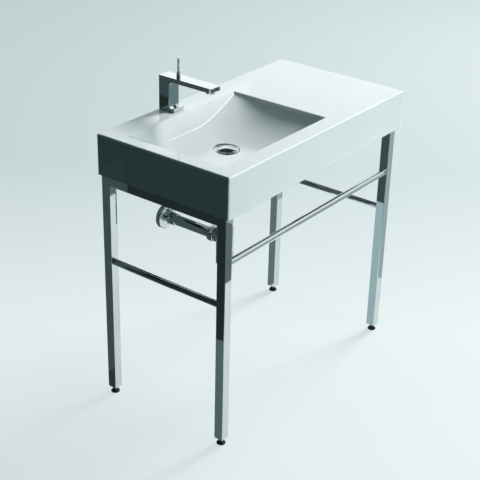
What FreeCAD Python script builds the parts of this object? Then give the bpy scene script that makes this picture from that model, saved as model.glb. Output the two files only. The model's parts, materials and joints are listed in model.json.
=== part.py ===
import FreeCAD, Part
import math
import operator
import os
import types
import Sketcher

Vector = FreeCAD.Vector
Rotation = FreeCAD.Rotation

doc = FreeCAD.newDocument("console_washbasin")

# Driving dimensions in millimetres, and shares of them
sizes = {
    # Ceramic basin: width along X, depth along Y up to the wall, heights from the floor
    "basin_width": 900,
    "basin_depth": 480,
    "rim_height": 884,
    "apron_height": 126,
    "basin_edge_radius": 5,
    "side_wall": 36,
    "front_wall": 16,
    "back_wall": 14,
    "deck_thickness": 16,
    # Bowl: a scoop that rises to the shelf on the right, with a sloping facet at the back
    "left_rim": 46,
    "front_rim": 56,
    "bowl_width": 489,
    "back_rim": 80,
    "bowl_depth": 76,
    "bowl_wall": 12,
    "scoop_reach": 236,
    "scoop_fullness_share": 0.4,
    "left_curve": 52,
    "bowl_rim_radius": 2.5,
    "facet_drop_share": 0.94,
    # Holes in the ceramic
    "drain_from_back": 165,
    "drain_seat_depth": 82,
    "drain_hole_diameter": 46,
    "drain_boss_diameter": 68,
    "drain_boss_depth": 96,
    "tap_hole_diameter": 35,
    "tap_hole_from_wall": 37,
    "fixing_hole_diameter": 12,
    "fixing_hole_spacing": 280,
    "fixing_hole_rise": 42,
    # Tap body: base plate, column and flat spout in one piece
    "tap_width": 45,
    "tap_height": 105,
    "tap_from_wall": 2,
    "tap_base_depth": 60,
    "tap_base_thickness": 9,
    "tap_column_depth": 40,
    "spout_length": 198,
    "spout_thickness": 14,
    "spout_inner_radius": 15,
    "base_inner_radius": 7,
    "tap_edge_radius": 1.2,
    "tap_gasket_thickness": 1.5,
    "tap_gasket_margin": 1,
    # Tap underside: fixing stud, its clamp and the two water inlets
    "tap_stud_diameter": 8,
    "tap_stud_length": 62,
    "tap_stud_depth": 14,
    "tap_stud_offset": 10,
    "tap_inlet_diameter": 9,
    "tap_inlet_depth": 14,
    "tap_inlet_spacing": 15,
    "tap_inlet_offset": 5,
    "tap_clamp_diameter": 44,
    "tap_clamp_seal_thickness": 3,
    "tap_clamp_plate_thickness": 3,
    "tap_clamp_slot_width": 26,
    "tap_clamp_slot_offset": 3,
    "tap_clamp_nut_width": 15,
    "tap_clamp_nut_height": 9,
    # Lever: pin with a pivot ball in a turning collar above a small cartridge
    "lever_from_wall": 60,
    "lever_diameter": 5,
    "lever_length": 43,
    "lever_ball_diameter": 8,
    "lever_pivot_depth": 4.5,
    "collar_diameter": 13,
    "collar_height": 15,
    "collar_spigot_diameter": 6,
    "collar_spigot_length": 6,
    "collar_edge": 0.8,
    "cartridge_diameter": 11,
    "cartridge_height": 9,
    # Aerator under the spout's tip
    "aerator_diameter": 26,
    "aerator_drop": 8.5,
    "aerator_inset": 5,
    "aerator_wall": 2.2,
    "aerator_from_tip": 19,
    "aerator_insert_recess": 1.2,
    "aerator_jet_diameter": 2.4,
    "aerator_jet_ring": 12,
    # Waste: flanged tube clamped through the bowl, with a push plug on a guide
    "waste_flange_diameter": 76,
    "waste_flange_height": 6.5,
    "waste_flange_edge": 3,
    "waste_ring_slope": 2.5,
    "waste_ring_width": 7,
    "waste_tube_diameter": 42,
    "waste_tube_bore": 36,
    "waste_tube_length": 62,
    "dish_floor": 2,
    "dish_rise_share": 0.27,
    "waste_seal_thickness": 2,
    "lower_seal_thickness": 5,
    "backnut_width": 60,
    "backnut_height": 12,
    "plug_diameter": 57,
    "plug_edge": 1.5,
    "plug_crown": 4.4,
    "plug_flat_diameter": 8,
    "plug_gap": 1.8,
    "plug_stem_diameter": 8,
    "plug_stem_length": 36,
    "plug_seal_inner_diameter": 44,
    "plug_seal_outer_diameter": 53,
    "guide_height": 10,
    "guide_drop": 18,
    "guide_wall": 2.5,
    "guide_hub_diameter": 14,
    "guide_bar_width": 4,
    # Tube from the waste down into the trap
    "pipe_diameter": 32,
    "pipe_wall": 1.5,
    "tailpiece_dip": 64,
    "tail_collar_diameter": 41,
    "tail_collar_thickness": 3,
    "tail_seal_thickness": 2,
    "tail_nut_diameter": 52,
    "tail_nut_height": 24,
    "nut_lip": 6,
    "nut_chamfer": 2,
    # Bottle trap with its outlet towards the wall
    "outlet_drop": 366,
    "trap_diameter": 54,
    "trap_wall": 3,
    "trap_rise": 40,
    "trap_fall": 44,
    "trap_neck_diameter": 44,
    "trap_neck_height": 12,
    "trap_shoulder": 5,
    "trap_socket_diameter": 42,
    "trap_socket_reach": 46,
    "trap_nut_diameter": 50,
    "trap_nut_height": 22,
    "trap_seal_thickness": 4,
    "outlet_nut_diameter": 48,
    "cup_height": 42,
    "cup_neck_height": 10,
    "cup_floor": 4,
    "cup_edge": 5,
    "cup_seal_thickness": 1.5,
    # Wall flange on the waste pipe
    "pipe_insertion": 11,
    "wall_flange_diameter": 80,
    "wall_flange_thickness": 15,
    "wall_flange_bevel": 3,
    "wall_neck_diameter": 38,
    "wall_neck_length": 40,
    "flange_screw_diameter": 4,
    "flange_screw_length": 3.4,
    "flange_screw_from_end": 14,
    "flange_screw_angle": 30,
    # Frame of square legs, square top rails, round side rails and a front towel bar
    "leg_side": 30,
    "leg_wall": 1.5,
    "leg_side_inset": 9,
    "leg_front_inset": 14,
    "leg_back_inset": 6,
    "leg_edge_radius": 1.5,
    "side_rail_diameter": 20,
    "side_rail_drop": 286,
    "towel_bar_diameter": 20,
    "towel_bar_drop": 154.5,
    "bar_wall": 1.5,
    "bar_plug_length": 16,
    "basin_pad_thickness": 2,
    # Levelling feet, screwed fully in
    "foot_height": 22.5,
    "foot_diameter": 28,
    "foot_disc_height": 4,
    "foot_disc_edge": 1,
    "foot_waist_diameter": 15,
    "foot_waist_height": 12,
    "foot_stud_diameter": 8,
    "foot_stud_length": 30,
    "foot_stud_seat": 14,
    "leg_insert_height": 34,
    # Small distances between pieces
    "pipe_clearance": 0.3,
    "thread_clearance": 0.1,
    "running_clearance": 0.3,
    "seat_clearance": 0.35,
    "hole_clearance": 1,
    "overrun": 5,
}

sheet = doc.addObject("Spreadsheet::Sheet", "Sizes")
for row, (alias, number) in enumerate(sizes.items(), start=1):
    sheet.set("A%d" % row, alias)
    sheet.set("B%d" % row, str(number))
    sheet.setAlias("B%d" % row, alias)
doc.recompute()


class Size:
    # A length with its number and the sheet expression that gives it

    signs = {"+": operator.add, "-": operator.sub, "*": operator.mul, "/": operator.truediv}

    def __init__(self, value, text):
        self.value = value
        self.text = text

    def joined(self, sign, other):
        other = as_size(other)
        text = "(%s %s %s)" % (self.text, sign, other.text)
        return Size(self.signs[sign](self.value, other.value), text)

    def __add__(self, other):
        return self.joined("+", other)

    def __sub__(self, other):
        return self.joined("-", other)

    def __mul__(self, other):
        return self.joined("*", other)

    def __truediv__(self, other):
        return self.joined("/", other)

    def __neg__(self):
        return self.joined("*", -1)


def as_size(value):
    if isinstance(value, Size):
        return value
    return Size(value, repr(value))


size = types.SimpleNamespace()
for alias in sizes:
    setattr(size, alias, Size(float(sheet.get(alias)), "Sizes.%s" % alias))

zero = as_size(0)
arc_middle_share = math.sqrt(0.5)
nodes = []


def named(item, label):
    item.Label = label
    nodes.append(item)
    return item


def place(item, x, y, z):
    for axis, value in zip("xyz", (x, y, z)):
        item.setExpression("Placement.Base.%s" % axis, as_size(value).text)
    return item


turns = {
    "x": Rotation(Vector(0, 1, 0), 90),
    "y": Rotation(Vector(1, 0, 0), -90),
    "z": Rotation(),
}


def box(name, low, span):
    item = doc.addObject("Part::Box", name)
    for side, length in zip(("Length", "Width", "Height"), span):
        item.setExpression(side, length.text)
    return place(item, *low)


def cylinder(name, diameter, height, start, along="z"):
    item = doc.addObject("Part::Cylinder", name)
    item.setExpression("Radius", (diameter / 2).text)
    item.setExpression("Height", height.text)
    item.Placement.Rotation = turns[along]
    return place(item, *start)


def fuse(name, items):
    item = doc.addObject("Part::MultiFuse", name)
    item.Shapes = items
    return item


def common(name, items):
    item = doc.addObject("Part::MultiCommon", name)
    item.Shapes = items
    return item


def cut(name, base, tools):
    item = doc.addObject("Part::Cut", name)
    item.Base = base
    item.Tool = tools[0] if len(tools) == 1 else fuse(name + "_tools", tools)
    return item


def ring(name, outer, inner, height, start, along="z"):
    disc = cylinder(name + "_disc", outer, height, start, along)
    bore = cylinder(name + "_bore", inner, height, start, along)
    return cut(name, disc, [bore])


def outline(body, role, points):
    # A closed sketch whose corners are bound to the sheet. A third value marks a point on an arc.
    sketch = body.newObject("Sketcher::SketchObject", body.Name + "_outline")
    plane = [item for item in body.Origin.OriginFeatures if item.Role == role]
    sketch.AttachmentSupport = [(plane[0], "")]
    sketch.MapMode = "FlatFace"
    flat = [Vector(as_size(point[0]).value, as_size(point[1]).value, 0) for point in points]
    corners = [index for index, point in enumerate(points) if len(point) == 2]
    ends = []
    for here, index in enumerate(corners):
        after = corners[(here + 1) % len(corners)]
        middle = (index + 1) % len(points)
        if middle == after:
            edge = sketch.addGeometry(Part.LineSegment(flat[index], flat[after]), False)
            ends.append((edge, 1, 2))
            continue
        edge = sketch.addGeometry(Part.Arc(flat[index], flat[middle], flat[after]), False)
        turn = (flat[middle] - flat[index]).cross(flat[after] - flat[index]).z
        ends.append((edge, 1, 2) if turn > 0 else (edge, 2, 1))
        mark = sketch.addGeometry(Part.Point(flat[middle]), True)
        sketch.addConstraint(Sketcher.Constraint("PointOnObject", mark, 1, edge))
        fix(sketch, mark, 1, points[middle], flat[middle])
    for here, index in enumerate(corners):
        edge, start, end = ends[here]
        following = ends[(here + 1) % len(ends)]
        sketch.addConstraint(Sketcher.Constraint("Coincident", edge, end, following[0], following[1]))
        fix(sketch, edge, start, points[index], flat[index])
    return sketch


def fix(sketch, edge, end, point, spot):
    for kind, coordinate, value in zip(("DistanceX", "DistanceY"), point, (spot.x, spot.y)):
        constraint = sketch.addConstraint(Sketcher.Constraint(kind, -1, 1, edge, end, value))
        label = "%s_%d" % (kind, constraint)
        sketch.renameConstraint(constraint, label)
        sketch.setExpression("Constraints." + label, as_size(coordinate).text)


def turned(name, points, start, along="z"):
    # Points are radius and height above the start, turned once round the axis
    body = doc.addObject("PartDesign::Body", name)
    profile = outline(body, "XZ_Plane", points)
    turn = body.newObject("PartDesign::Revolution", name + "_turn")
    turn.Profile = profile
    turn.ReferenceAxis = (profile, ["V_Axis"])
    turn.Angle = 360
    body.Placement.Rotation = turns[along]
    return place(body, *start)


def padded(name, role, points, length, start):
    body = doc.addObject("PartDesign::Body", name)
    pad = body.newObject("PartDesign::Pad", name + "_pad")
    pad.Profile = outline(body, role, points)
    pad.setExpression("Length", length.text)
    return place(body, *start)


def round_edges(body, radius, test):
    doc.recompute()
    base = body.Tip
    picked = ["Edge%d" % number for number, edge in enumerate(base.Shape.Edges, start=1) if test(edge)]
    rounding = body.newObject("PartDesign::Fillet", body.Name + "_rounding")
    rounding.Base = (base, picked)
    rounding.setExpression("Radius", radius.text)
    return rounding


def runs_along(edge, axis):
    ends = [vertex.Point for vertex in edge.Vertexes]
    if len(ends) < 2:
        return False
    step = (ends[1] - ends[0]).normalize()
    return abs(getattr(step, axis)) > math.cos(math.radians(1))


def square_tube(name, axis, length, start):
    # Legs stand along Z and rails lie along Y. The tube is open at both ends.
    body = doc.addObject("PartDesign::Body", name)
    spans = {"x": size.leg_side, "y": size.leg_side, "z": size.leg_side, axis: length}
    bore = {side: size.leg_side - size.leg_wall * 2 for side in "xyz"}
    bore[axis] = length
    steps = {side: size.leg_wall for side in "xyz"}
    steps[axis] = zero
    solid = body.newObject("PartDesign::AdditiveBox", name + "_outside")
    for side, length_name in zip("xyz", ("Length", "Width", "Height")):
        solid.setExpression(length_name, spans[side].text)
    round_edges(body, size.leg_edge_radius, lambda edge: runs_along(edge, axis))
    hollow = body.newObject("PartDesign::SubtractiveBox", name + "_inside")
    for side, length_name in zip("xyz", ("Length", "Width", "Height")):
        hollow.setExpression(length_name, bore[side].text)
    place(hollow, *(steps[side] for side in "xyz"))
    return place(body, *start)


# Main planes and axes
left = -size.basin_width / 2
front = -size.basin_depth / 2
wall = size.basin_depth / 2
apron_bottom = size.rim_height - size.apron_height
bowl_left = left + size.left_rim
bowl_right = bowl_left + size.bowl_width
bowl_front = front + size.front_rim
bowl_back = wall - size.back_rim
bowl_length = bowl_back - bowl_front
axis_x = bowl_left + size.bowl_width / 2
drain_y = bowl_back - size.drain_from_back
drain_seat = size.rim_height - size.drain_seat_depth
boss_bottom = size.rim_height - size.drain_boss_depth
deck_underside = size.rim_height - size.deck_thickness
outlet_height = size.rim_height - size.outlet_drop


# Ceramic basin

# The bowl's depth along its length is one smooth curve, guided by these points from back to front.
# It falls from the back, runs level and turns up at the front.
bowl_way_shares = (-0.03, 0.1, 0.28, 0.46, 0.66, 0.84, 0.95, 1, 1.03)
bowl_depth_shares = (0.22, 0.5, 0.86, 1, 1, 1, 0.92, 0.5, 0.2)
curve_degree = 3


def strip(section, stations, fullness=arc_middle_share):
    # A smooth surface along the bowl: the section's points carry a drop and a share of the depth.
    # Three points make a curve, a quarter of an ellipse unless its fullness is given, two a straight line.
    degree = len(section) - 1
    weights = [1, fullness, 1] if degree == 2 else [1, 1]
    rim = size.rim_height.value
    poles = []
    for x, drop, share in section:
        poles.append([Vector(x, y, rim - drop - depth * share) for y, depth in stations])
    spans = len(stations) - curve_degree
    knots = list(range(spans + 1))
    counts = [curve_degree + 1] + [1] * (spans - 1) + [curve_degree + 1]
    surface = Part.BSplineSurface()
    surface.buildFromPolesMultsKnots(
        poles,
        [degree + 1, degree + 1],
        counts,
        [0, 1],
        knots,
        False,
        False,
        degree,
        curve_degree,
        [[weight] * len(stations) for weight in weights],
    )
    return surface.toShape()


def make_scoop(name, grow):
    # The scoop's section is a long flat curve on the right, a level floor and a short curve on the left,
    # with its rim rounded on both sides
    near = bowl_left.value - grow
    far = bowl_right.value + grow
    lip = size.bowl_rim_radius.value
    lid = -size.overrun.value
    reach = far - size.scoop_reach.value
    heel = near + size.left_curve.value
    stations = []
    for way, share in zip(bowl_way_shares, bowl_depth_shares):
        y = bowl_back.value + grow - way * (bowl_length.value + grow * 2)
        stations.append((y, size.bowl_depth.value * share + grow - lip))
    rise = [(far, lip, 0), (far, lip, 1), (reach, lip, 1)]
    sections = [
        [(far + lip, lid, 0), (far + lip, 0, 0)],
        [(far + lip, 0, 0), (far, 0, 0), (far, lip, 0)],
        [(reach, lip, 1), (heel, lip, 1)],
        [(heel, lip, 1), (near, lip, 1), (near, lip, 0)],
        [(near, lip, 0), (near, 0, 0), (near - lip, 0, 0)],
        [(near - lip, 0, 0), (near - lip, lid, 0)],
        [(near - lip, lid, 0), (far + lip, lid, 0)],
    ]
    faces = [strip(section, stations) for section in sections]
    faces.append(strip(rise, stations, size.scoop_fullness_share.value))
    for y in (stations[0][0], stations[-1][0]):
        rims = [edge for face in faces for edge in face.Edges if abs(edge.CenterOfMass.y - y) < lip]
        faces.append(Part.Face(Part.Wire(Part.sortEdges(rims)[0])))
    shell = Part.makeShell(faces)
    shell.sewShape()
    solid = Part.makeSolid(shell)
    if solid.Volume < 0:
        solid.reverse()
    scoop = doc.addObject("Part::Feature", name)
    scoop.Shape = solid
    return scoop


def bowl_form(name, grow):
    # The scoop is trimmed by the sloping back facet and the upright front wall, whose rims are rounded too
    slope = size.facet_drop_share
    angle = math.atan(slope.value)
    lip = size.bowl_rim_radius
    back_edge = bowl_back + grow / math.sin(angle)
    back_flat = back_edge + lip * math.tan(angle / 2)
    facet_start = back_edge - lip * (math.tan(angle / 2) * math.cos(angle))
    facet_drop = lip * (math.tan(angle / 2) * math.sin(angle))
    back_bend = lip * math.sin(angle / 2)
    back_sink = lip * (1 - math.cos(angle / 2))
    rim = size.rim_height
    lid = rim + size.overrun * 2
    deepest = rim - size.bowl_depth - grow - size.overrun
    toe = back_edge - (rim - deepest) / slope
    front_end = bowl_front - grow
    front_bend = lip * (1 - arc_middle_share)
    side = [
        (back_flat, lid),
        (back_flat, rim),
        (back_flat - back_bend, rim - back_sink, "arc"),
        (facet_start, rim - facet_drop),
        (toe, deepest),
        (front_end, deepest),
        (front_end, rim - lip),
        (front_end - front_bend, rim - front_bend, "arc"),
        (front_end - lip, rim),
        (front_end - lip, lid),
    ]
    length = size.bowl_width + (grow + size.overrun) * 2
    facet = padded(name + "_facet", "YZ_Plane", side, length, (bowl_left - grow - size.overrun, 0, 0))
    return common(name, [make_scoop(name + "_scoop", grow.value), facet])


def make_washbasin():
    blank = doc.addObject("PartDesign::Body", "basin_blank")
    block = blank.newObject("PartDesign::AdditiveBox", "basin_block")
    block.setExpression("Length", size.basin_width.text)
    block.setExpression("Width", size.basin_depth.text)
    block.setExpression("Height", size.apron_height.text)
    top = size.apron_height.value

    def on_outside(edge):
        upper = all(abs(vertex.Point.z - top) < size.running_clearance.value for vertex in edge.Vertexes)
        return upper or runs_along(edge, "z")

    round_edges(blank, size.basin_edge_radius, on_outside)
    place(blank, left, front, apron_bottom)
    bowl = bowl_form("bowl", zero)
    shell = bowl_form("bowl_shell", size.bowl_wall)
    hollow_low = (left + size.side_wall, front + size.front_wall, apron_bottom - size.overrun)
    hollow_span = (
        size.basin_width - size.side_wall * 2,
        size.basin_depth - size.front_wall - size.back_wall,
        deck_underside - apron_bottom + size.overrun,
    )
    boss_height = drain_seat - boss_bottom
    boss = cylinder("drain_boss", size.drain_boss_diameter, boss_height, (axis_x, drain_y, boss_bottom))
    underside = cut("underside_hollow", box("underside_box", hollow_low, hollow_span), [shell, boss])
    recess_diameter = size.waste_flange_diameter + size.hole_clearance * 2
    recess_height = size.drain_seat_depth
    recess = cylinder("drain_recess", recess_diameter, recess_height, (axis_x, drain_y, drain_seat))
    drain_start = (axis_x, drain_y, boss_bottom)
    drain_hole = cylinder("drain_hole", size.drain_hole_diameter, size.drain_boss_depth, drain_start)
    tap_hole_start = (axis_x, wall - size.tap_hole_from_wall, deck_underside)
    tap_hole = cylinder("tap_hole", size.tap_hole_diameter, size.deck_thickness, tap_hole_start)
    holes = [bowl, underside, recess, drain_hole, tap_hole]
    for side in (-1, 1):
        start = (
            size.fixing_hole_spacing / 2 * side,
            wall - size.back_wall,
            apron_bottom + size.fixing_hole_rise,
        )
        name = "fixing_hole_left" if side < 0 else "fixing_hole_right"
        holes.append(cylinder(name, size.fixing_hole_diameter, size.back_wall, start, "y"))
    named(cut("washbasin", blank, holes), "washbasin")


# Tap

gasket_top = size.rim_height + size.tap_gasket_thickness
tap_back = wall - size.tap_from_wall
tap_front = tap_back - size.tap_base_depth
tap_left = axis_x - size.tap_width / 2
tap_hole_y = wall - size.tap_hole_from_wall
spout_top = gasket_top + size.tap_height
spout_bottom = spout_top - size.spout_thickness
lever_y = wall - size.lever_from_wall
aerator_y = tap_back - size.spout_length + size.aerator_from_tip
stud_y = tap_hole_y - size.tap_stud_offset
inlet_y = tap_hole_y + size.tap_inlet_offset
jet_count = 8


def make_tap_body():
    column = -size.tap_column_depth
    under = size.tap_height - size.spout_thickness
    upper = size.spout_inner_radius
    lower = size.base_inner_radius
    upper_bend = upper * (1 - arc_middle_share)
    lower_bend = lower * (1 - arc_middle_share)
    side = [
        (0, 0),
        (0, size.tap_height),
        (-size.spout_length, size.tap_height),
        (-size.spout_length, under),
        (column - upper, under),
        (column - upper_bend, under - upper_bend, "arc"),
        (column, under - upper),
        (column, size.tap_base_thickness + lower),
        (column - lower_bend, size.tap_base_thickness + lower_bend, "arc"),
        (column - lower, size.tap_base_thickness),
        (-size.tap_base_depth, size.tap_base_thickness),
        (-size.tap_base_depth, 0),
    ]
    casting = padded("tap_casting", "YZ_Plane", side, size.tap_width, (tap_left, tap_back, gasket_top))
    round_edges(casting, size.tap_edge_radius, lambda edge: edge.BoundBox.ZMax > size.running_clearance.value)
    pocket_diameter = size.cartridge_diameter + size.running_clearance * 2
    pocket_depth = size.cartridge_height + size.running_clearance
    pocket_start = (axis_x, lever_y, spout_top - pocket_depth)
    pocket = cylinder("cartridge_pocket", pocket_diameter, pocket_depth, pocket_start)
    stud_hole_diameter = size.tap_stud_diameter + size.thread_clearance * 2
    stud_hole = cylinder("stud_hole", stud_hole_diameter, size.tap_stud_depth, (axis_x, stud_y, gasket_top))
    aerator_start = (axis_x, aerator_y, spout_bottom)
    aerator_hole_diameter = size.aerator_diameter - size.aerator_wall * 2 + size.running_clearance * 2
    aerator_hole = cylinder("aerator_hole", aerator_hole_diameter, size.aerator_inset, aerator_start)
    cuts = [pocket, stud_hole, aerator_hole]
    for side_sign in (-1, 1):
        start = (axis_x + size.tap_inlet_spacing / 2 * side_sign, inlet_y, gasket_top)
        name = "inlet_left" if side_sign < 0 else "inlet_right"
        cuts.append(cylinder(name, size.tap_inlet_diameter, size.tap_inlet_depth, start))
    named(cut("tap_body", casting, cuts), "tap_body")


def make_tap_fixing():
    margin = size.tap_gasket_margin
    low = (tap_left + margin, tap_front + margin, size.rim_height)
    span = (size.tap_width - margin * 2, size.tap_base_depth - margin * 2, size.tap_gasket_thickness)
    hole_start = (axis_x, tap_hole_y, size.rim_height)
    opening = cylinder("gasket_opening", size.tap_hole_diameter, size.tap_gasket_thickness, hole_start)
    named(cut("tap_gasket", box("gasket_sheet", low, span), [opening]), "tap_gasket")

    stud_start = (axis_x, stud_y, gasket_top + size.tap_stud_depth - size.tap_stud_length)
    named(cylinder("tap_stud", size.tap_stud_diameter, size.tap_stud_length, stud_start), "tap_stud")

    seal_bottom = deck_underside - size.tap_clamp_seal_thickness
    plate_bottom = seal_bottom - size.tap_clamp_plate_thickness
    nut_bottom = plate_bottom - size.tap_clamp_nut_height
    stud_passage = size.tap_stud_diameter + size.hole_clearance
    # Horseshoe shape: a disc with a stud hole, open towards the wall for the hoses
    for name, bottom, thickness in (
        ("tap_clamp_seal", seal_bottom, size.tap_clamp_seal_thickness),
        ("tap_clamp_plate", plate_bottom, size.tap_clamp_plate_thickness),
    ):
        disc = cylinder(name + "_disc", size.tap_clamp_diameter, thickness, (axis_x, tap_hole_y, bottom))
        hole = cylinder(name + "_hole", stud_passage, thickness, (axis_x, stud_y, bottom))
        slot_low = (axis_x - size.tap_clamp_slot_width / 2, tap_hole_y - size.tap_clamp_slot_offset, bottom)
        slot = box(name + "_slot", slot_low, (size.tap_clamp_slot_width, size.tap_clamp_diameter, thickness))
        named(cut(name, disc, [hole, slot]), name)

    hexagon = doc.addObject("Part::Prism", "clamp_nut_hexagon")
    hexagon.Polygon = 6
    hexagon.setExpression("Circumradius", (size.tap_clamp_nut_width / 2).text)
    hexagon.setExpression("Height", size.tap_clamp_nut_height.text)
    nut_start = (axis_x, stud_y, nut_bottom)
    place(hexagon, *nut_start)
    nut_bore_diameter = size.tap_stud_diameter + size.pipe_clearance
    nut_bore = cylinder("clamp_nut_bore", nut_bore_diameter, size.tap_clamp_nut_height, nut_start)
    named(cut("tap_clamp_nut", hexagon, [nut_bore]), "tap_clamp_nut")


def make_lever():
    gap = size.running_clearance
    socket = size.collar_spigot_diameter + gap * 2
    cartridge_bottom = spout_top - size.cartridge_height
    cartridge_start = (axis_x, lever_y, cartridge_bottom)
    cartridge = ring("tap_cartridge", size.cartridge_diameter, socket, size.cartridge_height, cartridge_start)
    named(cartridge, "tap_cartridge")

    collar_radius = size.collar_diameter / 2
    bore_radius = size.lever_ball_diameter / 2 + gap
    pivot = size.collar_height - size.lever_pivot_depth
    bore_floor = pivot - bore_radius
    spigot_radius = size.collar_spigot_diameter / 2
    collar = [
        (0, -size.collar_spigot_length),
        (spigot_radius, -size.collar_spigot_length),
        (spigot_radius, 0),
        (collar_radius, 0),
        (collar_radius, size.collar_height - size.collar_edge),
        (collar_radius - size.collar_edge, size.collar_height),
        (bore_radius, size.collar_height),
        (bore_radius, bore_floor),
        (0, bore_floor),
    ]
    collar_bottom = spout_top + gap
    named(turned("lever_collar", collar, (axis_x, lever_y, collar_bottom)), "lever_collar")

    ball_radius = size.lever_ball_diameter / 2
    pin_radius = size.lever_diameter / 2
    shoulder = math.sqrt(ball_radius.value ** 2 - pin_radius.value ** 2) / ball_radius.value
    pin_top = size.lever_pivot_depth + size.lever_length
    pin = [
        (0, -ball_radius),
        (ball_radius, 0, "arc"),
        (pin_radius, ball_radius * shoulder),
        (pin_radius, pin_top - size.collar_edge),
        (pin_radius - size.collar_edge, pin_top),
        (0, pin_top),
    ]
    named(turned("lever", pin, (axis_x, lever_y, collar_bottom + pivot)), "lever")


def make_aerator():
    outer = size.aerator_diameter / 2
    inner = outer - size.aerator_wall
    housing = [
        (inner - size.aerator_wall, -size.aerator_drop),
        (outer - size.collar_edge, -size.aerator_drop),
        (outer, -size.aerator_drop + size.collar_edge),
        (outer, 0),
        (inner, 0),
        (inner, size.aerator_inset),
        (inner - size.aerator_wall, size.aerator_inset),
    ]
    named(turned("aerator", housing, (axis_x, aerator_y, spout_bottom)), "aerator")

    insert_diameter = (inner - size.aerator_wall - size.pipe_clearance) * 2
    insert_bottom = spout_bottom - size.aerator_drop + size.aerator_insert_recess
    insert_height = size.aerator_drop + size.aerator_inset - size.aerator_insert_recess
    disc = cylinder("insert_disc", insert_diameter, insert_height, (axis_x, aerator_y, insert_bottom))
    jets = []
    for number in range(jet_count):
        angle = 2 * math.pi * number / jet_count
        x = axis_x + size.aerator_jet_ring / 2 * math.cos(angle)
        y = aerator_y + size.aerator_jet_ring / 2 * math.sin(angle)
        jet = cylinder("jet_%d" % number, size.aerator_jet_diameter, insert_height, (x, y, insert_bottom))
        jets.append(jet)
    named(cut("aerator_insert", disc, jets), "aerator_insert")


# Waste and trap

flange_bottom = drain_seat + size.waste_seal_thickness
waste_end = flange_bottom - size.waste_tube_length
dish_start = size.waste_tube_bore / 2
crown_middle_share = 0.25


def dish(radius):
    # Height of the flange's dish above the flange's underside
    return size.dish_floor + (radius - dish_start) * size.dish_rise_share


def make_waste():
    rim = size.waste_flange_diameter / 2
    tube = size.waste_tube_diameter / 2
    ring_inner = rim - size.waste_ring_width
    dish_edge = ring_inner - size.hole_clearance
    flange = [
        (dish_start, -size.waste_tube_length),
        (tube, -size.waste_tube_length),
        (tube, 0),
        (rim, 0),
        (rim, size.waste_flange_edge),
        (rim - size.waste_ring_slope, size.waste_flange_height),
        (ring_inner, size.waste_flange_height),
        (dish_edge, dish(dish_edge)),
        (dish_start, size.dish_floor),
    ]
    named(turned("waste_flange", flange, (axis_x, drain_y, flange_bottom)), "waste_flange")

    seal_outer = size.waste_flange_diameter - size.waste_ring_width
    upper_start = (axis_x, drain_y, drain_seat)
    thickness = size.waste_seal_thickness
    upper = ring("waste_seal_upper", seal_outer, size.drain_hole_diameter, thickness, upper_start)
    named(upper, "waste_seal_upper")

    passage = size.waste_tube_diameter + size.pipe_clearance * 2
    lower_start = (axis_x, drain_y, boss_bottom - size.lower_seal_thickness)
    lower = ring("waste_seal_lower", size.backnut_width, passage, size.lower_seal_thickness, lower_start)
    named(lower, "waste_seal_lower")

    nut_bottom = boss_bottom - size.lower_seal_thickness - size.backnut_height
    hexagon = doc.addObject("Part::Prism", "backnut_hexagon")
    hexagon.Polygon = 6
    hexagon.setExpression("Circumradius", (size.backnut_width / 2).text)
    hexagon.setExpression("Height", size.backnut_height.text)
    place(hexagon, axis_x, drain_y, nut_bottom)
    nut_bore = cylinder("backnut_bore", passage, size.backnut_height, (axis_x, drain_y, nut_bottom))
    named(cut("waste_backnut", hexagon, [nut_bore]), "waste_backnut")


def make_plug():
    rim = size.plug_diameter / 2
    stem = size.plug_stem_diameter / 2
    gap = size.plug_gap
    edge = dish(rim) + gap + size.plug_edge
    crown = edge + size.plug_crown
    plug = [
        (0, -size.plug_stem_length),
        (stem, -size.plug_stem_length),
        (stem, size.dish_floor + gap),
        (dish_start, size.dish_floor + gap),
        (rim, dish(rim) + gap),
        (rim, edge),
        (rim / 2, crown - size.plug_crown * crown_middle_share, "arc"),
        (size.plug_flat_diameter / 2, crown),
        (0, crown),
    ]
    named(turned("waste_plug", plug, (axis_x, drain_y, flange_bottom)), "waste_plug")

    inner = size.plug_seal_inner_diameter / 2
    outer = size.plug_seal_outer_diameter / 2
    seal = [
        (inner, dish(inner) + size.seat_clearance),
        (outer, dish(outer) + size.seat_clearance),
        (outer, dish(outer) + gap),
        (inner, dish(inner) + gap),
    ]
    named(turned("plug_seal", seal, (axis_x, drain_y, flange_bottom)), "plug_seal")

    guide_bottom = flange_bottom - size.guide_drop - size.guide_height
    guide_start = (axis_x, drain_y, guide_bottom)
    guide_outer = size.waste_tube_bore - size.pipe_clearance * 2
    guide_inner = guide_outer - size.guide_wall * 2
    band = ring("guide_band", guide_outer, guide_inner, size.guide_height, guide_start)
    hub = cylinder("guide_hub", size.guide_hub_diameter, size.guide_height, guide_start)
    reach = guide_outer - size.guide_wall
    bars = []
    for name, x_span, y_span in (
        ("guide_bar_across", reach, size.guide_bar_width),
        ("guide_bar_along", size.guide_bar_width, reach),
    ):
        low = (axis_x - x_span / 2, drain_y - y_span / 2, guide_bottom)
        bars.append(box(name, low, (x_span, y_span, size.guide_height)))
    stem_passage = size.plug_stem_diameter + size.running_clearance * 2
    passage = cylinder("guide_passage", stem_passage, size.guide_height, guide_start)
    named(cut("plug_guide", fuse("guide_cross", [band, hub] + bars), [passage]), "plug_guide")


def union_nut(name, outer, thread, bore, height, start, along):
    # A round nut with a lip: the lip starts the nut, the threaded part ends it
    rim = outer / 2
    nut = [
        (bore / 2, 0),
        (rim - size.nut_chamfer, 0),
        (rim, size.nut_chamfer),
        (rim, height - size.nut_chamfer),
        (rim - size.nut_chamfer, height),
        (thread / 2, height),
        (thread / 2, size.nut_lip),
        (bore / 2, size.nut_lip),
    ]
    return named(turned(name, nut, start, along), name)


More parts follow.
